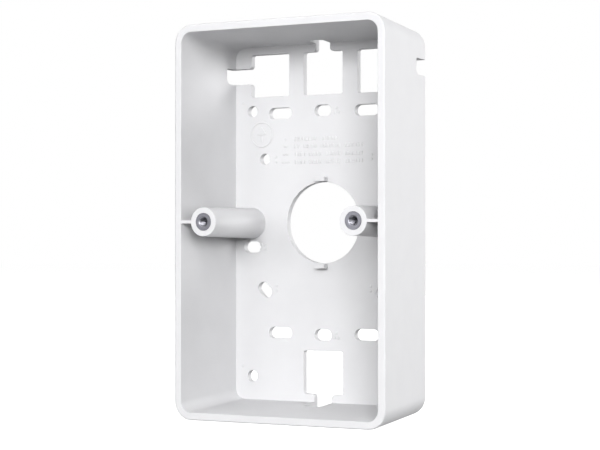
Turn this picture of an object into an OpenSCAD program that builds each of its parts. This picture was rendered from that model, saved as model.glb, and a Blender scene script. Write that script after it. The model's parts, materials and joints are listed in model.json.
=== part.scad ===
// Surface-mount back box for a video doorbell: a moulded shell that is open at
// the front, with two threaded metal inserts moulded into its screw posts.
// The back plate lies on the wall plane Y = 0, the open front faces -Y, +Z is up,
// and the origin is on the wall plane at the axis of the big cable hole.

/* [Shell] */
// Width across the open front
front_w = 84.7; // [80:0.1:110]
// Height across the open front
front_h = 143.5; // [138:0.1:180]
// Depth from the wall to the open front
depth = 38.4; // [24:0.1:60]
// Thickness of the walls at the open front
wall_t = 2.8; // [2:0.1:3.6]
// Thickness of the back plate
plate_t = 2.7; // [2:0.1:4]
// Radius of the four outer corners
corner_r = 6.8; // [5.5:0.1:12]
// Rounding of the outer rim edge
rim_r = 0.7; // [0.2:0.1:1.2]
// Taper of the outside of each wall, in degrees
outer_draft = 3.1; // [0:0.1:3.5]
// Taper of the inside of each wall, in degrees
inner_draft = 3.8; // [0:0.1:4.5]

/* [Screw posts] */
// Distance between the two front screws
post_pitch = 60.3; // [50:0.1:62]
// Diameter of a post at its front end
post_d = 10.5; // [9:0.1:11]
// Taper of a post, in degrees
post_draft = 0.9; // [0:0.1:1.2]
// Thickness of the rib between a post and the side wall
rib_t = 1.1; // [0.8:0.1:3]
// Diameter of the clearance hole behind an insert
relief_d = 4.4; // [3.8:0.1:5]
// Depth of the clearance hole behind an insert
relief_depth = 12; // [2:0.5:14]

/* [Threaded inserts] */
// Outside diameter of an insert
insert_d = 6.4; // [5.6:0.1:7]
// Length of an insert
insert_length = 8; // [5:0.5:10]
// Diameter inside an insert, at the thread crests
thread_d = 3.3; // [2.6:0.1:4.2]
// Gap between an insert and the plastic round it
insert_gap = 0.02; // [0.01:0.01:0.1]

/* [Cable entries] */
// Diameter of the big cable hole
cable_hole_d = 30.2; // [20:0.1:34]
// Width of a cable window
window_w = 16.2; // [10:0.1:18]
// Height of a cable window
window_h = 16; // [10:0.1:18]
// Distance between the middles of neighbouring windows
window_pitch = 22.4; // [20:0.1:24]
// Height of the middle of a window above or below the cable hole
window_offset = 55.6; // [50:0.1:58]
// Width of the slot from a window through the top or side wall
slot_w = 5.8; // [4:0.1:9]
// Depth of that slot, from the wall plane
slot_depth = 8.8; // [4:0.1:14]
// Width of the slot through the bottom wall
low_slot_w = 7; // [4:0.1:9]
// Depth of the slot through the bottom wall, from the wall plane
low_slot_depth = 12.8; // [4:0.1:18]
// Rounding of a window's corners
window_r = 0.8; // [0.3:0.1:2]
// Rounding of the larger inner corner of a slot
slot_r = 2.2; // [0.5:0.1:2.5]
// Rounding of the smaller inner corner of a slot
slot_nose_r = 0.9; // [0.3:0.1:1.5]
// Rounding of the two corners where a slot meets its window
throat_r = 1.2; // [0.4:0.1:2]

/* [Wall screws] */
// Diameter of a round screw hole, and width of a screw slot
screw_d = 4.2; // [3.2:0.1:5]
// Distance across of the four corner holes
corner_pitch_x = 60; // [50:0.1:62]
// Distance up and down of the four corner holes
corner_pitch_z = 100; // [90:0.1:110]
// Height of the middle of the corner holes
corner_middle_z = -7.75; // [-9:0.05:-6]
// Distance between the middle screw slots, up and down
gang_pitch = 83.3; // [82:0.1:86]
// Length of travel in a middle slot
gang_travel = 2.7; // [0.5:0.1:5]
// Distance across of the four long slots
long_pitch_x = 36; // [30:0.1:40]
// Distance up and down of the four long slots
long_pitch_z = 82.4; // [82:0.1:86]
// Length of travel in a long slot
long_travel = 5.5; // [1:0.1:7]
// Distance across, and up and down, of the four round-box holes
round_pitch = 49.2; // [44:0.1:52]
// Height of the middle of the round-box holes
round_middle_z = -0.5; // [-2:0.1:2]
// Length of travel in the slanted round-box slots
round_travel = 2.2; // [0.5:0.1:4]
// Distance between the two side slots
side_pitch = 60; // [56:0.1:61]
// Height of the side slots
side_z = -9; // [-12:0.1:-8.8]
// Length of travel in a side slot
side_travel = 3; // [0.5:0.1:4]

/* [Locating keys] */
// Width of a key above or below the cable hole
key_w = 4.1; // [2:0.1:8]
// Thickness of a key
key_t = 1.75; // [1:0.05:3]
// Height that a key stands above the plate
key_h = 3; // [1:0.1:6]
// Land between the cable hole and a key
key_land = 0.15; // [0.1:0.05:2]

/* [Hidden] */
plastic_colour = "#ecedef";
insert_colour = "#a3a4ab";
over = 1;
corner_steps = 8;
rim_steps = 6;
$fn = 96;

cavity_depth = depth - plate_t;
inner_r = corner_r - wall_t;
post_base_d = post_d + 2 * cavity_depth * tan(post_draft);
post_x = post_pitch / 2;

// How far each wall's outside and inside faces lie in from the front size, at height y.
function outer_inset(y) = max(0, depth - rim_r + y) * tan(outer_draft);
function inner_inset(y) = wall_t + (depth + y) * tan(inner_draft);

// One corner-rounded rectangle of points at height y, drawn in by inset.
function ring(y, inset, r) = [
    for (quarter = [0 : 3])
        let (
            side_x = (quarter == 0 || quarter == 3) ? 1 : -1,
            side_z = (quarter < 2) ? 1 : -1
        )
        for (step = [0 : corner_steps])
            let (a = 90 * (quarter + step / corner_steps))
            [
                side_x * (front_w / 2 - inset - r) + r * cos(a),
                y,
                side_z * (front_h / 2 - inset - r) + r * sin(a)
            ]
];

// Skins a stack of rings, listed from back to front, into one closed solid.
module loft(rings) {
    n = len(rings[0]);
    points = [for (one = rings) each one];
    sides = [
        for (k = [0 : len(rings) - 2])
            for (i = [0 : n - 1])
                let (j = (i + 1) % n)
                [k * n + i, (k + 1) * n + i, (k + 1) * n + j, k * n + j]
    ];
    back_cap = [[for (i = [0 : n - 1]) i]];
    front_cap = [[for (i = [n - 1 : -1 : 0]) (len(rings) - 1) * n + i]];
    polyhedron(points, concat(sides, back_cap, front_cap), convexity = 4);
}

// Outside form: drafted walls and a rounded outer rim edge.
module outer_form() {
    rim_rings = [
        for (step = [0 : rim_steps])
            let (
                a = 90 * step / rim_steps,
                y = -depth + rim_r * (1 - sin(a)),
                inset = rim_r * (1 - cos(a))
            )
            ring(y, inset + outer_inset(y), corner_r - inset)
    ];
    loft(concat([ring(0, outer_inset(0), corner_r)], rim_rings));
}

// Inside form: drafted cavity from the plate out through the open front.
module cavity_form() {
    loft([
        ring(-plate_t, inner_inset(-plate_t), inner_r),
        ring(-depth - over, inner_inset(-depth - over), inner_r)
    ]);
}

// A solid that runs along -Y from the height y0 to the height y1.
module along_y(y0, y1) {
    translate([0, y0, 0]) rotate([90, 0, 0]) linear_extrude(y0 - y1) children();
}

// A hole or slot outline: a circle drawn out by travel at the angle turn.
module slot_outline(d, travel = 0, turn = 0) {
    rotate(turn) {
        if (travel > 0) square([travel, d], center = true);
        for (end = (travel > 0) ? [-1, 1] : [0]) translate([end * travel / 2, 0]) circle(d = d);
    }
}

// The fillet left between a window edge and a slot edge that meet at a corner.
module throat_fillet() {
    difference() {
        square(throat_r);
        translate([throat_r, throat_r]) circle(throat_r);
    }
}

// A window with its slot, which runs out along +X of the outline.
module window_outline(width, height, slot, reach) {
    square([width - 2 * window_r, height], center = true);
    square([width, height - 2 * window_r], center = true);
    for (sx = [-1, 1], sz = [-1, 1])
        translate([sx * (width / 2 - window_r), sz * (height / 2 - window_r)])
            circle(window_r);
    translate([0, -slot / 2]) square([reach, slot]);
    for (side = [-1, 1])
        mirror([0, (side < 0) ? 1 : 0])
            translate([width / 2, slot / 2])
                throat_fillet();
}

// The sharp corner that a rounded slot corner of radius r leaves uncut.
module corner_web(r) {
    difference() {
        translate([-over, -over]) square(r + over);
        translate([r, r]) circle(r);
    }
}

// A slot through a wall, along +X, with a large rounding on its inner corner on
// the side given as -1 or 1 along Z, and a small one on the other.
module wall_slot(slot, slot_reach, reach, side) {
    large_r = min(slot_r, slot / 2);
    rotate([90, 0, 90])
        linear_extrude(reach)
            difference() {
                translate([-slot_reach, -slot / 2]) square([slot_reach + over, slot]);
                for (end = [-1, 1])
                    mirror([0, (end > 0) ? 1 : 0])
                        translate([-slot_reach, -slot / 2])
                            corner_web((end == side) ? large_r : slot_nose_r);
            }
}

// One cable window through the plate and its slot through a wall. The slot
// leaves along +X, turned by turn about the Y axis, and side says which of its
// inner corners has the large rounding.
module cable_window(turn, width, height, slot, slot_reach, reach, side) {
    rotate([0, -turn, 0]) {
        along_y(over, -plate_t - over) window_outline(width, height, slot, reach);
        wall_slot(slot, slot_reach, reach, side);
    }
}

// Mirrors what follows across X = 0 or Z = 0 when side is -1.
module flip_x(side) {
    mirror([(side < 0) ? 1 : 0, 0, 0]) children();
}

module flip_z(side) {
    mirror([0, 0, (side < 0) ? 1 : 0]) children();
}

// Everything that is cut through the plate for cables.
module cable_cuts() {
    reach_x = front_w / 2 - window_pitch + over;
    reach_z = front_h / 2 - window_offset + over;
    along_y(over, -plate_t - over) circle(d = cable_hole_d);
    for (side = [-1, 1])
        flip_x(side)
            translate([window_pitch, 0, window_offset])
                cable_window(0, window_w, window_h, slot_w, slot_depth, reach_x, -1);
    translate([0, 0, window_offset])
        cable_window(90, window_h, window_w, slot_w, slot_depth, reach_z, 1);
    translate([0, 0, -window_offset])
        cable_window(-90, window_h, window_w, low_slot_w, low_slot_depth, reach_z, 1);
}

// Every screw hole and screw slot through the plate.
module screw_cuts() {
    along_y(over, -plate_t - over)
        for (sx = [-1, 1], sz = [-1, 1]) {
            translate([sx * corner_pitch_x / 2, corner_middle_z + sz * corner_pitch_z / 2])
                slot_outline(screw_d);
            translate([sx * long_pitch_x / 2, sz * long_pitch_z / 2])
                slot_outline(screw_d, long_travel);
            translate([0, sz * gang_pitch / 2])
                slot_outline(screw_d, gang_travel);
            translate([sx * round_pitch / 2, round_middle_z + sz * round_pitch / 2])
                slot_outline(screw_d, (sz < 0) ? round_travel : 0, sx * 45);
            translate([sx * side_pitch / 2, side_z])
                slot_outline(screw_d, side_travel);
        }
}

// A screw post on the plate, with the rib that ties it to the side wall.
module post() {
    translate([post_x, -plate_t / 2, 0])
        rotate([90, 0, 0])
            cylinder(d1 = post_base_d, d2 = post_d, h = depth - plate_t / 2);
    bite = wall_t / 2;
    translate([0, 0, -rib_t / 2])
        linear_extrude(rib_t)
            polygon([
                [post_x, -plate_t / 2],
                [post_x, -depth],
                [front_w / 2 - inner_inset(-depth) + bite, -depth],
                [front_w / 2 - inner_inset(-plate_t / 2) + bite, -plate_t / 2]
            ]);
}

// The pocket for an insert and the clearance hole behind it.
module post_bore() {
    translate([post_x, -depth, 0]) {
        rotate([-90, 0, 0]) insert_form(insert_gap);
        rotate([-90, 0, 0]) cylinder(d = relief_d, h = insert_length + relief_depth);
    }
}

// A key that stands on the plate beside the cable hole, above it or below it.
module locating_key() {
    translate([-key_w / 2, -plate_t - key_h, cable_hole_d / 2 + key_land])
        cube([key_w, key_h + plate_t / 2, key_t]);
}

// The turned outside of an insert, along +Z from its face: two knurled bands
// with a waist between them, which the plastic grips, and a chamfer round the
// buried end. gap grows every side.
module insert_form(gap = 0) {
    r = insert_d / 2;
    chamfer = insert_d / 20;
    waist_r = r - insert_d / 12;
    rotate_extrude()
        polygon([
            [0, -gap],
            [r + gap, -gap],
            [r + gap, insert_length * 0.4 + gap],
            [waist_r + gap, insert_length * 0.45 + gap],
            [waist_r + gap, insert_length * 0.55 - gap],
            [r + gap, insert_length * 0.6 - gap],
            [r + gap, insert_length - chamfer],
            [r - chamfer + gap, insert_length + gap],
            [0, insert_length + gap]
        ]);
}

// An insert in its post, on the side given as -1 or 1.
module insert(side) {
    color(insert_colour)
        translate([side * post_x, -depth, 0])
            rotate([-90, 0, 0])
                difference() {
                    insert_form();
                    translate([0, 0, -over]) cylinder(d = thread_d, h = insert_length + 2 * over);
                }
}

// The moulded shell: walls, back plate, posts, ribs and keys in one piece.
module box_shell() {
    color(plastic_colour)
        difference() {
            union() {
                difference() {
                    outer_form();
                    cavity_form();
                    cable_cuts();
                    screw_cuts();
                }
                for (side = [-1, 1]) {
                    flip_x(side) post();
                    flip_z(side) locating_key();
                }
            }
            for (side = [-1, 1]) flip_x(side) post_bore();
        }
}

module left_insert() {
    insert(-1);
}

module right_insert() {
    insert(1);
}

box_shell();
left_insert();
right_insert();
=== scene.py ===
"""Visual model of a surface-mount back box for a video doorbell: the moulded shell with
softened edges, its two threaded inserts, and the raised marks on the back plate.

The file is laid out as an add-on and run as a script. Everything is in metres, in the
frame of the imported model: the back plate lies on the wall plane Y = 0, the open front
faces -Y, +Z is up, and the origin is at the axis of the big cable hole.
"""

import json
import math

import bmesh
import bpy
import numpy as np
from bpy.props import FloatProperty, FloatVectorProperty, IntProperty, PointerProperty
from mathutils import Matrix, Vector


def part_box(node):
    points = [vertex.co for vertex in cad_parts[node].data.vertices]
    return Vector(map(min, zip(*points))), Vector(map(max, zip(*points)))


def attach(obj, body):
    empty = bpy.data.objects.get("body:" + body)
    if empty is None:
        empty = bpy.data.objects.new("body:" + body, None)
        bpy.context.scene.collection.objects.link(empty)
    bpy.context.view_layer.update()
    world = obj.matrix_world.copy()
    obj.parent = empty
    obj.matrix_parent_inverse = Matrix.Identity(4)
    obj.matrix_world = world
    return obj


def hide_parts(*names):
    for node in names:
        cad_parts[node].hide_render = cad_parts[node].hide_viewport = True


bl_info = {
    "name": "Doorbell back box",
    "version": (1, 0, 0),
    "blender": (4, 5, 0),
    "location": "3D View > Sidebar > Back box",
    "description": "Builds the shell, threaded inserts and raised marks of a doorbell back box",
    "category": "Object",
}

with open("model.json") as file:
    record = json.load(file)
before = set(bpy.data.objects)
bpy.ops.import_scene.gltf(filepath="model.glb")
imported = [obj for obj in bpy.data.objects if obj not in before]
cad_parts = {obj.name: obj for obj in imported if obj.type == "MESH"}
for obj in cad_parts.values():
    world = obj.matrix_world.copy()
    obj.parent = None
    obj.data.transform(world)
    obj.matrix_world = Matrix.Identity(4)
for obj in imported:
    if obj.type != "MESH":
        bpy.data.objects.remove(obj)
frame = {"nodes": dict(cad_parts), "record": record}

BODY = "root"
MM = 0.001
MOUNTS = {mount["name"]: mount for mount in frame["record"]["mounts"]}
SHELL_LOW, SHELL_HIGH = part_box("box_shell")
INSERT_LOW, INSERT_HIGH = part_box("left_insert")
PLATE_THICKNESS = MOUNTS["cable_hole"]["dims"]["length_mm"] * MM
CABLE_HOLE_RADIUS = MOUNTS["cable_hole"]["dims"]["r_mm"] * MM
THREAD_CREST = MOUNTS["left_thread"]["dims"]["r_mm"] * MM
POST_X = MOUNTS["right_thread"]["pos_m"][0]


# ---------------------------------------------------------------------------------------
# Sizes and colours that a user would change
# ---------------------------------------------------------------------------------------


def length(name, description, default):
    """A size in metres, shown in the scene's own length unit."""
    return FloatProperty(
        name=name, description=description, default=default, min=0, precision=5,
        subtype="DISTANCE", unit="LENGTH",
    )


def colour(name, description, default):
    """A linear colour from 0 to 1."""
    return FloatVectorProperty(
        name=name, description=description, default=default, min=0, max=1, subtype="COLOR",
    )


def share(name, description, default):
    """A plain number from 0 to 1."""
    return FloatProperty(
        name=name, description=description, default=default, min=0, max=1, subtype="FACTOR",
    )


class ShellSettings(bpy.types.PropertyGroup):
    """The moulded shell and its plastic."""

    edge_radius: length("Edge radius", "Softening of every moulded edge", 0.16 * MM)
    edge_steps: IntProperty(
        name="Edge steps", description="Facets across a softened edge", default=3, min=1, max=6
    )
    plastic: colour("Plastic", "Colour of the white plastic", (0.798, 0.798, 0.813))
    plastic_shade: colour("Plastic shade", "Colour in its faint flow clouds", (0.778, 0.778, 0.794))
    grain: length("Grain", "Size of one grain of the spark texture", 0.32 * MM)
    grain_depth: length("Grain depth", "Depth of the spark texture", 0.006 * MM)
    cloud: length("Cloud", "Size of the flow clouds in the plastic", 9 * MM)
    roughness: share("Roughness", "Roughness of the satin plastic", 0.42)


class InsertSettings(bpy.types.PropertyGroup):
    """The threaded inserts and their metal."""

    pitch: length("Thread pitch", "Distance from one thread to the next", 0.7 * MM)
    thread_depth: length("Thread depth", "Depth of the thread behind its crest", 0.34 * MM)
    lead_in: length("Lead-in", "Width of the countersink at each end of the bore", 0.12 * MM)
    chamfer: length("Chamfer", "Chamfer round the front face", 0.1 * MM)
    knurl_depth: length("Knurl depth", "Depth of the knurled bands", 0.12 * MM)
    knurl_teeth: IntProperty(
        name="Knurl teeth", description="Teeth round a knurled band", default=24, min=8, max=48
    )
    metal: colour("Metal", "Colour of the plated metal", (0.27, 0.27, 0.30))
    metal_shade: colour("Metal shade", "Colour in the turning lines", (0.20, 0.20, 0.23))
    # Bright thread crests: bare cut metal, and also a painted glint for the light caught in the
    # bore.
    cut_metal_and_glint: colour("Cut metal", "Colour of the crests of the thread", (0.78, 0.78, 0.84))
    turning_pitch: length("Turning pitch", "Distance between turning lines on a face", 0.16 * MM)
    roughness: share("Roughness", "Roughness of the turned metal", 0.34)


class MarkSettings(bpy.types.PropertyGroup):
    """The raised marks on the back plate."""

    relief: length("Relief", "Height that a mark stands above the plate", 0.26 * MM)
    root: length("Root", "Depth that a mark runs into the plate", 0.1 * MM)
    round_over: length("Round-over", "Rounding of a mark's top edge", 0.12 * MM)
    pip_radius: length("Pip radius", "Radius of one raised pip", 0.55 * MM)
    pip_pitch: length("Pip pitch", "Distance between the pips of one mark", 1.7 * MM)
    block_radius: length("Block radius", "Half the width of one block of the legend", 0.34 * MM)
    block_height: length("Block height", "Height of one block of the legend", 1.5 * MM)
    block_pitch: length("Block pitch", "Distance from one block to the next", 1.22 * MM)
    ring_radius: length("Ring radius", "Radius of the ring round the upward arrow", 4.6 * MM)
    line_radius: length("Line radius", "Half the width of the ring and arrow lines", 0.28 * MM)


class StageSettings(bpy.types.PropertyGroup):
    """The floor, lights and camera."""

    floor_colour: colour("Floor", "Colour of the pale floor", (0.93, 0.93, 0.93))
    floor_radius: length("Floor radius", "Radius of the round floor", 6.0)
    floor_glow: FloatProperty(
        name="Floor glow", description="Light that the floor gives off itself", default=0.97, min=0
    )
    lens: FloatProperty(
        name="Lens", description="Focal length", default=103.595, min=1, subtype="DISTANCE_CAMERA"
    )


# ---------------------------------------------------------------------------------------
# Meshes
# ---------------------------------------------------------------------------------------


def grid_faces(rows, columns, close_rows=False):
    """The four-sided faces of a grid of points whose columns close on themselves, and whose
    rows do too where close_rows says so: each point, the next one along, and the two after."""
    row = np.arange(rows if close_rows else rows - 1)[:, None]
    column = np.arange(columns)[None, :]
    next_row, next_column = (row + 1) % rows, (column + 1) % columns
    corners = [
        row * columns + column,
        row * columns + next_column,
        next_row * columns + next_column,
        next_row * columns + column,
    ]
    return np.stack(corners, axis=-1).reshape(-1, 4)


def add_piece(name, mesh, material):
    """Puts a mesh into the scene as a piece that rides on the box."""
    mesh.name = name
    mesh.materials.clear()
    mesh.materials.append(material)
    piece = bpy.data.objects.new(name, mesh)
    bpy.context.scene.collection.objects.link(piece)
    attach(piece, BODY)
    return piece


def mesh_from(name, points, faces, crease=35):
    """A mesh of points (n, 3) and lists of faces, smooth but for edges sharper than crease."""
    mesh = bpy.data.meshes.new(name)
    mesh.from_pydata(points.reshape(-1, 3).tolist(), [], faces)
    mesh.shade_smooth()
    mesh.set_sharp_from_angle(angle=math.radians(crease))
    if mesh.validate():
        raise RuntimeError(f"{name} has faces that a mesh can't hold")
    return mesh


# ---------------------------------------------------------------------------------------
# Materials
# ---------------------------------------------------------------------------------------


class Amount:
    """A number that varies over a surface. Arithmetic on it adds Math nodes to its finish."""

    def __init__(self, finish, socket):
        self.finish = finish
        self.socket = socket

    def maths(self, operation, *numbers):
        """The result of one Math node on these numbers, which may be amounts too."""
        node = self.finish.node(
            "ShaderNodeMath", {"operation": operation}, dict(enumerate(numbers))
        )
        return Amount(self.finish, node.outputs[0])

    def __add__(self, other):
        return self.maths("ADD", self, other)

    def __radd__(self, other):
        return self.maths("ADD", other, self)

    def __sub__(self, other):
        return self.maths("SUBTRACT", self, other)

    def __rsub__(self, other):
        return self.maths("SUBTRACT", other, self)

    def __mul__(self, other):
        return self.maths("MULTIPLY", self, other)

    def __rmul__(self, other):
        return self.maths("MULTIPLY", other, self)

    def __pow__(self, other):
        return self.maths("POWER", self, other)

    def __abs__(self):
        return self.maths("ABSOLUTE", self)


class Finish:
    """A material as it is put together, node by node."""

    def __init__(self, name):
        self.material = bpy.data.materials.new(name)
        self.material.use_nodes = True
        self.tree = self.material.node_tree
        self.tree.nodes.clear()
        self.place = self.node("ShaderNodeTexCoord").outputs["Object"]

    def node(self, kind, settings=None, sockets=None):
        """Adds one node: its settings come first, then its sockets' values or links."""
        node = self.tree.nodes.new(kind)
        for key, value in (settings or {}).items():
            setattr(node, key, value)
        for key, value in (sockets or {}).items():
            value = value.socket if isinstance(value, Amount) else value
            if isinstance(value, bpy.types.NodeSocket):
                self.tree.links.new(value, node.inputs[key])
            else:
                node.inputs[key].default_value = value
        return node

    def noise(self, size, detail=2.0):
        """A soft random pattern from 0 to 1, whose features are about size across."""
        sockets = {"Vector": self.place, "Scale": 1 / size, "Detail": detail}
        node = self.node("ShaderNodeTexNoise", None, sockets)
        return Amount(self, node.outputs[0])

    def ramp(self, amount, low, high):
        """0 below low and 1 above high, with a smooth step between."""
        sockets = {"Value": amount, "From Min": low, "From Max": high}
        node = self.node("ShaderNodeMapRange", {"interpolation_type": "SMOOTHSTEP"}, sockets)
        return Amount(self, node.outputs[0])

    def blend(self, amount, first, second):
        """One colour where amount is 0 and another where it is 1, each a colour or a link."""
        first, second = (
            one if isinstance(one, bpy.types.NodeSocket) else (*one, 1) for one in (first, second)
        )
        sockets = {0: amount, 6: first, 7: second}
        return self.node("ShaderNodeMix", {"data_type": "RGBA"}, sockets).outputs[2]

    def bump(self, height, distance, below=None):
        """A surface that rises by distance where height is 1, over another bump if given."""
        sockets = {"Height": height, "Distance": distance, "Strength": 1.0}
        if below is not None:
            sockets["Normal"] = below
        return self.node("ShaderNodeBump", None, sockets).outputs[0]

    def surface(self, sockets):
        """Ends the material in a Principled shader with these sockets."""
        shader = self.node("ShaderNodeBsdfPrincipled", None, sockets)
        self.node("ShaderNodeOutputMaterial", None, {"Surface": shader.outputs[0]})
        return self.material


# The plastic: how the ripple's size compares with a cloud's, where a cloud begins and is
# full, how much roughness grain and ripple add, and the ripple's depth against the grain's.
RIPPLE_SHARE = 0.35
CLOUD_EDGES = (0.35, 0.7)
GRAIN_ROUGHNESS, RIPPLE_ROUGHNESS = 0.14, 0.05
RIPPLE_DEPTH_SHARE = 1.5
PLASTIC_IOR = 1.49


def satin_plastic(settings):
    """White moulded plastic: a fine spark texture that scatters the gloss, faint flow clouds
    in the colour, and a roughness that wanders with both."""
    finish = Finish("satin_white_plastic")
    grain = finish.noise(settings.grain, detail=3)
    ripple = finish.noise(settings.cloud * RIPPLE_SHARE)
    cloud = finish.ramp(finish.noise(settings.cloud, detail=4), *CLOUD_EDGES)
    roughness = settings.roughness + GRAIN_ROUGHNESS * grain + RIPPLE_ROUGHNESS * ripple
    spark = finish.bump(grain, settings.grain_depth)
    return finish.surface({
        "Base Color": finish.blend(
            cloud * 0.7 + grain * 0.3, settings.plastic, settings.plastic_shade
        ),
        "Roughness": roughness,
        "Normal": finish.bump(ripple, settings.grain_depth * RIPPLE_DEPTH_SHARE, spark),
        "IOR": PLASTIC_IOR,
    })


# The metal: how far apart the turning lines' wander changes and how much it moves them, the
# size of a tarnish spot and where it begins and is full, how much roughness lines and
# tarnish add, and the depth of a line.
WANDER_SIZE, WANDER_AMOUNT = 1.1 * MM, 3
TARNISH_SIZE, TARNISH_EDGES = 0.8 * MM, (0.45, 0.75)
LINE_ROUGHNESS, TARNISH_ROUGHNESS = 0.12, 0.10
LINE_DEPTH = 0.004 * MM


def turned_metal(settings):
    """Plated metal off a lathe: fine lines round each insert's own axis, broken by noise, in
    the colour, the roughness and the surface. The crests of the cut thread are brighter: bare
    cut metal, and also a painted glint that stands in for the light caught in the bore."""
    finish = Finish("turned_grey_metal")
    axes = finish.node("ShaderNodeSeparateXYZ", None, {"Vector": finish.place}).outputs
    across = abs(Amount(finish, axes["X"])) - POST_X
    up = Amount(finish, axes["Z"])
    from_axis = (across * across + up * up) ** 0.5
    wander = finish.noise(WANDER_SIZE, detail=3)
    phase = from_axis * (math.tau / settings.turning_pitch) + wander * WANDER_AMOUNT
    line = phase.maths("SINE", phase) * 0.5 + 0.5
    tarnish = finish.ramp(finish.noise(TARNISH_SIZE, detail=4), *TARNISH_EDGES)
    # Painted glint: the thread crests take the bright cut-metal colour, partly bare metal and
    # partly painted light in the bore.
    plated_not_glint = finish.ramp(from_axis, THREAD_CREST, THREAD_CREST + settings.lead_in)
    turned = finish.blend(line * 0.5 + tarnish * 0.5, settings.metal, settings.metal_shade)
    return finish.surface({
        "Base Color": finish.blend(plated_not_glint, settings.cut_metal_and_glint, turned),
        "Roughness": (
            settings.roughness + LINE_ROUGHNESS * line + TARNISH_ROUGHNESS * tarnish
        ),
        "Normal": finish.bump(line, LINE_DEPTH),
        "Metallic": 1.0,
    })


# ---------------------------------------------------------------------------------------
# Shell
# ---------------------------------------------------------------------------------------


# Edges that turn by more than SHARP_TURN are softened, and faces that meet within FLAT_TURN
# are joined. The land by a key lies within KEY_LAND_REACH of the cable hole's wall and
# KEY_REACH of the middle.
SHARP_TURN = math.radians(38)
KEY_LAND_REACH = 0.6 * MM
KEY_REACH = 3 * MM
KEY_LAND_SOFTNESS = 0.2
MERGE_DISTANCE = 0.0005 * MM
FLAT_TURN = math.radians(0.4)


def edge_softness(built):
    """How much of the edge radius each edge of a shell gets: all of it on an edge that makes
    a sharp turn, none on a flatter one, and a fifth on the narrow land between the cable
    hole and a key, where two full roundings would run into each other."""
    turns = np.array([edge.calc_face_angle(0) for edge in built.edges])
    ends = np.array([[tuple(vert.co) for vert in edge.verts] for edge in built.edges])
    softness = np.where(turns > SHARP_TURN, 1.0, 0.0)
    from_hole = np.abs(np.hypot(ends[..., 0], ends[..., 2]) - CABLE_HOLE_RADIUS)
    on_plate = ends[..., 1] > -PLATE_THICKNESS - 0.1 * MM
    on_land = (from_hole < KEY_LAND_REACH) & (np.abs(ends[..., 0]) < KEY_REACH) & on_plate
    return np.where(np.all(on_land, axis=1), KEY_LAND_SOFTNESS, 1.0) * softness


class BACKBOX_OT_shell(bpy.types.Operator):
    """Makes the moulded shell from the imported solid, with every edge softened"""

    bl_idname = "backbox.shell"
    bl_label = "Moulded shell"

    def execute(self, context):
        settings = context.scene.backbox_shell
        built = bmesh.new()
        built.from_mesh(frame["nodes"]["box_shell"].data)
        bmesh.ops.remove_doubles(built, verts=built.verts, dist=MERGE_DISTANCE)
        bmesh.ops.dissolve_limit(
            built, angle_limit=FLAT_TURN, verts=built.verts, edges=built.edges
        )
        mesh = bpy.data.meshes.new("moulded_shell")
        built.to_mesh(mesh)
        softness = mesh.attributes.new("bevel_weight_edge", "FLOAT", "EDGE")
        softness.data.foreach_set("value", edge_softness(built))
        built.free()
        mesh.shade_smooth()
        piece = add_piece("moulded_shell", mesh, satin_plastic(settings))
        soften = piece.modifiers.new("Softened edges", "BEVEL")
        soften.width = settings.edge_radius
        soften.segments = settings.edge_steps
        soften.limit_method = "WEIGHT"
        soften.use_clamp_overlap = False
        soften.loop_slide = False
        weigh = piece.modifiers.new("Flat faces", "WEIGHTED_NORMAL")
        weigh.weight = 60
        weigh.keep_sharp = False
        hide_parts("box_shell")
        return {"FINISHED"}


# ---------------------------------------------------------------------------------------
# Threaded inserts
# ---------------------------------------------------------------------------------------


# Where a knurled band has its facets, and where the bands end and the waist between them
# begins and ends, as shares of the insert's length.
KNURL_STEPS = (0.06, 0.12, 0.2, 0.28, 0.34)
BAND_END, WAIST_START, WAIST_END, BAND_START = 0.4, 0.45, 0.55, 0.6
BORE_STEPS_PER_THREAD = 12
MOUTH_ROUNDING = (0.1 * MM, 0.04 * MM)


def insert_section(settings):
    """The outline of an insert's half section, as (distance from the axis, depth from the
    front face), and for each point how much of the knurl and of the thread it carries. It
    runs down the outside, in over the back face, up the bore and out over the front face."""
    outer = (INSERT_HIGH.x - INSERT_LOW.x) / 2
    deep = INSERT_HIGH.y - INSERT_LOW.y
    chamfer, buried_chamfer, lead = settings.chamfer, outer / 10, settings.lead_in
    mouth = THREAD_CREST + lead
    waist = outer - outer / 6
    band = np.array(KNURL_STEPS) * deep
    down = [(outer - chamfer, 0, 0), (outer, chamfer, 0)]
    down += [(outer, z, 1) for z in band]
    down += [(outer, BAND_END * deep, 0), (waist, WAIST_START * deep, 0)]
    down += [(waist, WAIST_END * deep, 0), (outer, BAND_START * deep, 0)]
    down += [(outer, deep - z, 1) for z in band[::-1]]
    down += [(outer, deep - buried_chamfer, 0), (outer - buried_chamfer, deep, 0)]
    wide, sunk = MOUTH_ROUNDING
    back = [(mouth + wide, deep, 0), (mouth, deep - sunk, 0)]
    steps = int((deep - 2 * lead) / settings.pitch * BORE_STEPS_PER_THREAD)
    bore = np.linspace(deep - lead, lead, steps)
    fade = np.clip(np.minimum(bore - lead, deep - lead - bore) / settings.pitch, 0, 1)
    face = [(mouth, sunk, 0), (mouth + wide, 0, 0)]
    face += [(r, 0, 0) for r in np.linspace(mouth + 2.5 * wide, outer - chamfer - wide, 4)]
    plain = np.array(down + back + [(THREAD_CREST, z, 0) for z in bore] + face)
    threaded = np.zeros(len(plain))
    threaded[len(down + back):len(plain) - len(face)] = fade
    return plain[:, 0], plain[:, 1], plain[:, 2], threaded


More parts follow.
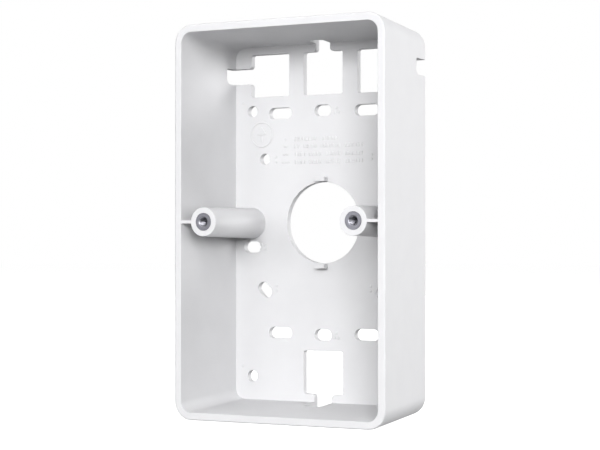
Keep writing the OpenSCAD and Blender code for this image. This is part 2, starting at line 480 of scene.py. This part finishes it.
def insert_points(settings, axis_x, around=144):
    """An insert as a surface of turn and section. Each point lies at its section's distance
    from the axis, less the knurl, which is a cosine of the turn, plus the thread, which is a
    flat-topped zigzag of depth over pitch less the share of the turn made."""
    reach, depth, knurled, threaded = insert_section(settings)
    turn = np.linspace(0, math.tau, around, endpoint=False)[None, :]
    lead = depth[:, None] / settings.pitch - turn / math.tau
    zigzag = np.abs(2 * (lead % 1) - 1)
    groove = np.clip(1.35 * zigzag - 0.15, 0, 1) * threaded[:, None]
    teeth = 0.5 - 0.5 * np.cos(settings.knurl_teeth * turn)
    away = (
        reach[:, None]
        - settings.knurl_depth * teeth * knurled[:, None]
        + settings.thread_depth * groove
    )
    x = axis_x + away * np.cos(turn)
    z = away * np.sin(turn)
    y = np.broadcast_to(INSERT_LOW.y + depth[:, None], x.shape)
    return np.stack([x, y, z], axis=-1)


class BACKBOX_OT_inserts(bpy.types.Operator):
    """Makes the two threaded metal inserts in the screw posts"""

    bl_idname = "backbox.inserts"
    bl_label = "Threaded inserts"

    def execute(self, context):
        settings = context.scene.backbox_inserts
        metal = turned_metal(settings)
        for side, node in ((-1, "left_insert"), (1, "right_insert")):
            points = insert_points(settings, side * POST_X)
            faces = grid_faces(*points.shape[:2], close_rows=True)[:, ::-1]
            mesh = mesh_from("threaded_" + node, points, faces.tolist(), crease=30)
            piece = add_piece("threaded_" + node, mesh, metal)
            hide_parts(node)
        return {"FINISHED"}


# ---------------------------------------------------------------------------------------
# Raised marks on the back plate
# ---------------------------------------------------------------------------------------


def edge_profile(settings):
    """How far in and how high a raised mark's side goes: straight up from its root, then a
    quarter circle over the top edge."""
    turn = np.linspace(0, math.pi / 2, 4)
    drawn_in = settings.round_over * (1 - np.cos(turn))
    height = settings.relief - settings.round_over * (1 - np.sin(turn))
    return np.concatenate([[0], drawn_in]), np.concatenate([[-settings.root], height])


def raised_pads(settings, corners, radius, around=20):
    """Raised pads with rounded outlines, from corners (pads, corners, 2) in X and Z. Each
    outline point is the pad corner that lies furthest its way, plus the radius that way, and
    the radius shrinks by the edge profile as the side goes up. The ends are flat faces."""
    drawn_in, height = edge_profile(settings)
    turn = (np.arange(around) + 0.5) * math.tau / around
    way = np.stack([np.cos(turn), np.sin(turn)], axis=-1)
    furthest = np.argmax(np.einsum("pcd,ad->pca", corners, way), axis=1)
    base = np.take_along_axis(corners, furthest[:, :, None], axis=1)
    shrunk = radius - drawn_in
    flat = base[:, None] + shrunk[None, :, None, None] * way[None, None]
    pads, rings = flat.shape[:2]
    y = np.broadcast_to(-PLATE_THICKNESS - height[None, :, None], flat.shape[:3])
    points = np.stack([flat[..., 0], y, flat[..., 1]], axis=-1)
    start = np.arange(pads)[:, None, None] * rings * around
    sides = (grid_faces(rings, around)[None] + start).reshape(-1, 4)
    roots = start[:, 0] + np.arange(around)[::-1]
    tops = start[:, 0] + (rings - 1) * around + np.arange(around)
    return points, sides.tolist() + roots.tolist() + tops.tolist()


def raised_ring(settings, centre, radius, around=96):
    """A raised ring: a closed section carried round a circle. The section goes up one side
    by the edge profile, back down the other, and closes below the plate."""
    drawn_in, height = edge_profile(settings)
    half = settings.line_radius - drawn_in
    across = np.concatenate([half, -half[::-1]])
    rise = np.concatenate([height, height[::-1]])
    turn = np.linspace(0, math.tau, around, endpoint=False)[None, :]
    away = radius + across[:, None]
    x = centre[0] + away * np.cos(turn)
    z = centre[1] + away * np.sin(turn)
    y = np.broadcast_to(-PLATE_THICKNESS - rise[:, None], x.shape)
    points = np.stack([x, y, z], axis=-1)
    return points, grid_faces(*points.shape[:2], close_rows=True).tolist()


def pip_cluster(settings, count, centre):
    """The middles of one to four pips round a centre, as on a die, closed up."""
    half = settings.pip_pitch / 2
    layout = {
        1: [(0, 0)],
        2: [(0, 1), (0, -1)],
        3: [(0, 1), (-1, -1), (1, -1)],
        4: [(-1, 1), (1, 1), (-1, -1), (1, -1)],
    }[count]
    return np.array(centre) + np.array(layout) * half


# How far a mark's middle stands from its hole's middle, outwards and upwards, where 1 is the
# upper row of holes and -1 the lower. The middle slots' marks are given by their place.
CORNER_MARK_OUT = 4.3 * MM
CORNER_MARK_UP = {1: 3.3 * MM, -1: 3.7 * MM}
ROUND_BOX_MARK_OUT = {1: -4.6 * MM, -1: -5.1 * MM}
ROUND_BOX_MARK_UP = -0.2 * MM
MIDDLE_MARK_PLACE = (5.6 * MM, 41.65 * MM)
SIDE_MARK_OUT = -4.8 * MM


def hole_mark_places():
    """Where each wall hole's mark stands and how many pips it has: one for the corner holes,
    two for the round-box holes, three for the middle slots, four for the side slots."""
    corner, box, side = (MOUNTS[n] for n in ("corner_holes", "round_box_holes", "side_slots"))
    corner_x = corner["dims"]["spacing_x_mm"] * MM / 2 + CORNER_MARK_OUT
    corner_z = corner["dims"]["spacing_y_mm"] * MM / 2
    box_x = box["dims"]["spacing_x_mm"] * MM / 2
    box_z = box["pos_m"][2]
    side_x = side["dims"]["spacing_x_mm"] * MM / 2 + SIDE_MARK_OUT
    middle_x, middle_z = MIDDLE_MARK_PLACE
    places = []
    for sx in (-1, 1):
        for sz in (1, -1):
            places.append(
                (1, sx * corner_x, corner["pos_m"][2] + sz * corner_z + CORNER_MARK_UP[sz])
            )
            places.append(
                (2, sx * (box_x + ROUND_BOX_MARK_OUT[sz]), sz * box_z + ROUND_BOX_MARK_UP)
            )
        places.append((4, sx * side_x, side["pos_m"][2]))
    for sz in (1, -1):
        places.append((3, middle_x, sz * middle_z))
    return places


class BACKBOX_OT_hole_marks(bpy.types.Operator):
    """Makes the raised pips that tell the groups of wall holes apart"""

    bl_idname = "backbox.hole_marks"
    bl_label = "Hole marks"

    def execute(self, context):
        settings = context.scene.backbox_marks
        clusters = [pip_cluster(settings, n, (x, z)) for n, x, z in hole_mark_places()]
        corners = np.concatenate(clusters)[:, None, :]
        points, faces = raised_pads(settings, corners, settings.pip_radius)
        add_piece(
            "hole_marks", mesh_from("hole_marks", points, faces),
            bpy.data.materials["satin_white_plastic"],
        )
        return {"FINISHED"}


# The legend, in millimetres: each row's height and the left and right end of each run of
# blocks in it.
LEGEND_ROWS = (
    (31.3, ((-12.4, -2.8), (-0.7, 5.9))),
    (28.6, ((-12.4, -9.6), (-8.4, -2.6), (-1.2, 7.5), (8.9, 16.8))),
    (25.6, ((-12.4, -7.3), (-6.3, -0.7), (0.8, 7.4), (8.9, 16.8))),
    (22.7, ((-12.4, -7.3), (-6.3, -0.7), (0.8, 7.4), (8.9, 16.8))),
)
LEGEND_PIPS_X = -15.9
LEGEND_PIP_PITCH = 0.9


def block_run(settings, left, right, z):
    """Blocks side by side from left to right, as the two ends of each one's middle line."""
    count = round((right - left) / settings.block_pitch)
    middles = np.linspace(left, right, count + 1)[:-1] + (right - left) / count / 2
    half = settings.block_height / 2 - settings.block_radius
    ends = [np.full_like(middles, z - half), np.full_like(middles, z + half)]
    return np.stack([np.stack([middles, end], axis=-1) for end in ends], axis=1)


class BACKBOX_OT_legend(bpy.types.Operator):
    """Makes the legend: four rows of plain raised blocks, each led by its group's pips"""

    bl_idname = "backbox.legend"
    bl_label = "Legend"

    def execute(self, context):
        settings = context.scene.backbox_marks
        blocks, pips = [], []
        for row, (z, spans) in enumerate(LEGEND_ROWS):
            blocks += [
                block_run(settings, left * MM, right * MM, z * MM) for left, right in spans
            ]
            first = LEGEND_PIPS_X - LEGEND_PIP_PITCH / 2 * row
            pips += [
                [((first + LEGEND_PIP_PITCH * n) * MM, z * MM)] for n in range(row + 1)
            ]
        for name, corners, radius in (
            ("legend_blocks", np.concatenate(blocks), settings.block_radius),
            ("legend_pips", np.array(pips), settings.pip_radius * 0.6),
        ):
            points, faces = raised_pads(settings, corners, radius)
            add_piece(
                name, mesh_from(name, points, faces),
                bpy.data.materials["satin_white_plastic"],
            )
        return {"FINISHED"}


# The upward mark, in millimetres in X and Z: its middle, and from there the corners of the
# arrow's head and the two ends of its stem.
UPWARD_MIDDLE = (-26.1, 33.4)
ARROW_HEAD = ((-1.7, 0.1), (1.7, 0.1), (0, 2.5))
ARROW_STEM = ((0, -2.6), (0, -2.6), (0, -1.0))


class BACKBOX_OT_upward_mark(bpy.types.Operator):
    """Makes the mark that shows which way up the box goes: a ring round a plain arrow"""

    bl_idname = "backbox.upward_mark"
    bl_label = "Upward mark"

    def execute(self, context):
        settings = context.scene.backbox_marks
        centre = np.array(UPWARD_MIDDLE) * MM
        head = centre + np.array(ARROW_HEAD) * MM
        stem = centre + np.array(ARROW_STEM) * MM
        arrow = raised_pads(settings, np.stack([head, stem]), settings.line_radius, around=36)
        ring = raised_ring(settings, centre, settings.ring_radius)
        for name, (points, faces) in (("upward_arrow", arrow), ("upward_ring", ring)):
            add_piece(
                name, mesh_from(name, points, faces),
                bpy.data.materials["satin_white_plastic"],
            )
        return {"FINISHED"}


# ---------------------------------------------------------------------------------------
# Stage
# ---------------------------------------------------------------------------------------

# Softboxes: name, turn from the front towards +X and height above the horizon in degrees,
# width and height in metres, and power in watts.
SOFTBOXES = (
    ("key_softbox", 35, 12, 0.5, 0.5, 9.7),
    ("key_upper_softbox", 35, 30, 0.5, 0.5, 3.6),
    ("front_softbox", 5, 12, 0.5, 0.5, 9.4),
    ("left_softbox", -25, 12, 0.5, 0.5, 3.4),
    ("right_softbox", 65, 12, 0.5, 0.5, 3.1),
    ("side_softbox", 100, -5, 0.5, 0.5, 2.3),
    ("top_softbox", -60, 70, 0.5, 0.5, 5.6),
    ("back_softbox", 180, 10, 1.6, 1.6, 8.9),
    ("back_right_softbox", 140, 10, 0.9, 0.9, 10.7),
    ("floor_bounce_softbox", 0, -80, 1.2, 1.2, 7.4),
)
SOFTBOX_DISTANCE = 1.5
# How bright the white backdrop is in the gloss of a piece, where 1 is as bright as it looks.
BACKDROP_SHINE = 0.2
FLOOR_SIDES = 96
CAMERA_PLACE = (0.29457, -0.57070, -0.009681)
CAMERA_TURN = (90.788, 0.0, 28.173)


def add_softbox(name, turn, height, wide, high, power):
    """A flat rectangular lamp on a sphere round the box, facing the middle of the box."""
    turn, height = math.radians(turn), math.radians(height)
    way = Vector((
        math.sin(turn) * math.cos(height), -math.cos(turn) * math.cos(height), math.sin(height)
    ))
    data = bpy.data.lights.new(name, "AREA")
    data.shape = "RECTANGLE"
    data.size, data.size_y = wide, high
    data.energy = power
    lamp = bpy.data.objects.new(name, data)
    lamp.location = (SHELL_LOW + SHELL_HIGH) / 2 + way * SOFTBOX_DISTANCE
    lamp.rotation_euler = way.to_track_quat("Z", "Y").to_euler()
    lamp.visible_camera = False
    bpy.context.scene.collection.objects.link(lamp)


def floor_paper(settings):
    """Pale seamless paper with a faint fibre, which glows a little so that it stays pale."""
    finish = Finish("pale_floor_paper")
    fibre = finish.noise(4 * MM, detail=5)
    pale = tuple(settings.floor_colour)
    darker = tuple(0.985 * channel for channel in pale)
    return finish.surface({
        "Base Color": finish.blend(fibre, pale, darker),
        "Roughness": 0.9,
        "Emission Color": (1, 1, 1, 1),
        "Emission Strength": settings.floor_glow,
    })


def white_surroundings():
    """A plain white backdrop, which the gloss of a piece picks up only softly and which
    lights nothing else."""
    world = bpy.data.worlds.new("white_surroundings")
    world.use_nodes = True
    tree = world.node_tree
    tree.nodes.clear()
    ray = tree.nodes.new("ShaderNodeLightPath").outputs
    shine = tree.nodes.new("ShaderNodeMath")
    shine.operation = "MULTIPLY_ADD"
    shine.inputs[1].default_value = BACKDROP_SHINE
    glow = tree.nodes.new("ShaderNodeBackground")
    glow.inputs["Color"].default_value = (1, 1, 1, 1)
    output = tree.nodes.new("ShaderNodeOutputWorld")
    tree.links.new(ray["Is Glossy Ray"], shine.inputs[0])
    tree.links.new(ray["Is Camera Ray"], shine.inputs[2])
    tree.links.new(shine.outputs[0], glow.inputs["Strength"])
    tree.links.new(glow.outputs[0], output.inputs["Surface"])
    bpy.context.scene.world = world


class BACKBOX_OT_stage(bpy.types.Operator):
    """Makes the pale floor, the soft lights and the camera"""

    bl_idname = "backbox.stage"
    bl_label = "Stage"

    def execute(self, context):
        settings = context.scene.backbox_stage
        turn = np.linspace(0, math.tau, FLOOR_SIDES, endpoint=False)
        reach = settings.floor_radius
        disc = np.stack([
            reach * np.cos(turn), reach * np.sin(turn), np.full_like(turn, SHELL_LOW.z)
        ], axis=-1)
        floor = bpy.data.objects.new(
            "floor", mesh_from("floor", disc, [list(range(FLOOR_SIDES))])
        )
        floor.data.materials.append(floor_paper(settings))
        # The floor only takes light, so the lamp below it still reaches the box.
        floor.visible_diffuse = False
        floor.visible_glossy = False
        floor.visible_shadow = False
        context.scene.collection.objects.link(floor)
        white_surroundings()
        for softbox in SOFTBOXES:
            add_softbox(*softbox)
        context.scene.view_settings.view_transform = "Standard"
        # One bounce keeps the shadows inside the box deep.
        context.scene.cycles.diffuse_bounces = 1
        data = bpy.data.cameras.new("camera")
        data.lens = settings.lens
        data.clip_start, data.clip_end = 0.01, 50
        camera = bpy.data.objects.new("camera", data)
        camera.location = CAMERA_PLACE
        camera.rotation_euler = [math.radians(angle) for angle in CAMERA_TURN]
        context.scene.collection.objects.link(camera)
        context.scene.camera = camera
        return {"FINISHED"}


# ---------------------------------------------------------------------------------------
# Add-on
# ---------------------------------------------------------------------------------------


class BACKBOX_PT_panel(bpy.types.Panel):
    """Lists the pieces and their sizes in the sidebar"""

    bl_idname = "BACKBOX_PT_panel"
    bl_label = "Doorbell back box"
    bl_space_type = "VIEW_3D"
    bl_region_type = "UI"
    bl_category = "Back box"

    def draw(self, context):
        for operator in OPERATORS:
            self.layout.operator(operator.bl_idname)
        for name in SETTINGS:
            box = self.layout.box()
            group = getattr(context.scene, name)
            for key in group.__annotations__:
                box.prop(group, key)


SETTINGS = {
    "backbox_shell": ShellSettings,
    "backbox_inserts": InsertSettings,
    "backbox_marks": MarkSettings,
    "backbox_stage": StageSettings,
}
OPERATORS = (
    BACKBOX_OT_shell,
    BACKBOX_OT_inserts,
    BACKBOX_OT_hole_marks,
    BACKBOX_OT_legend,
    BACKBOX_OT_upward_mark,
    BACKBOX_OT_stage,
)


def register():
    for cls in (*SETTINGS.values(), *OPERATORS, BACKBOX_PT_panel):
        bpy.utils.register_class(cls)
    for name, cls in SETTINGS.items():
        setattr(bpy.types.Scene, name, PointerProperty(type=cls))


def unregister():
    for name in SETTINGS:
        delattr(bpy.types.Scene, name)
    for cls in reversed((*SETTINGS.values(), *OPERATORS, BACKBOX_PT_panel)):
        bpy.utils.unregister_class(cls)


def main():
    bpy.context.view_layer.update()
    register()
    bpy.ops.backbox.shell()
    bpy.ops.backbox.inserts()
    bpy.ops.backbox.hole_marks()
    bpy.ops.backbox.legend()
    bpy.ops.backbox.upward_mark()
    bpy.ops.backbox.stage()


if __name__ == "__main__":
    main()
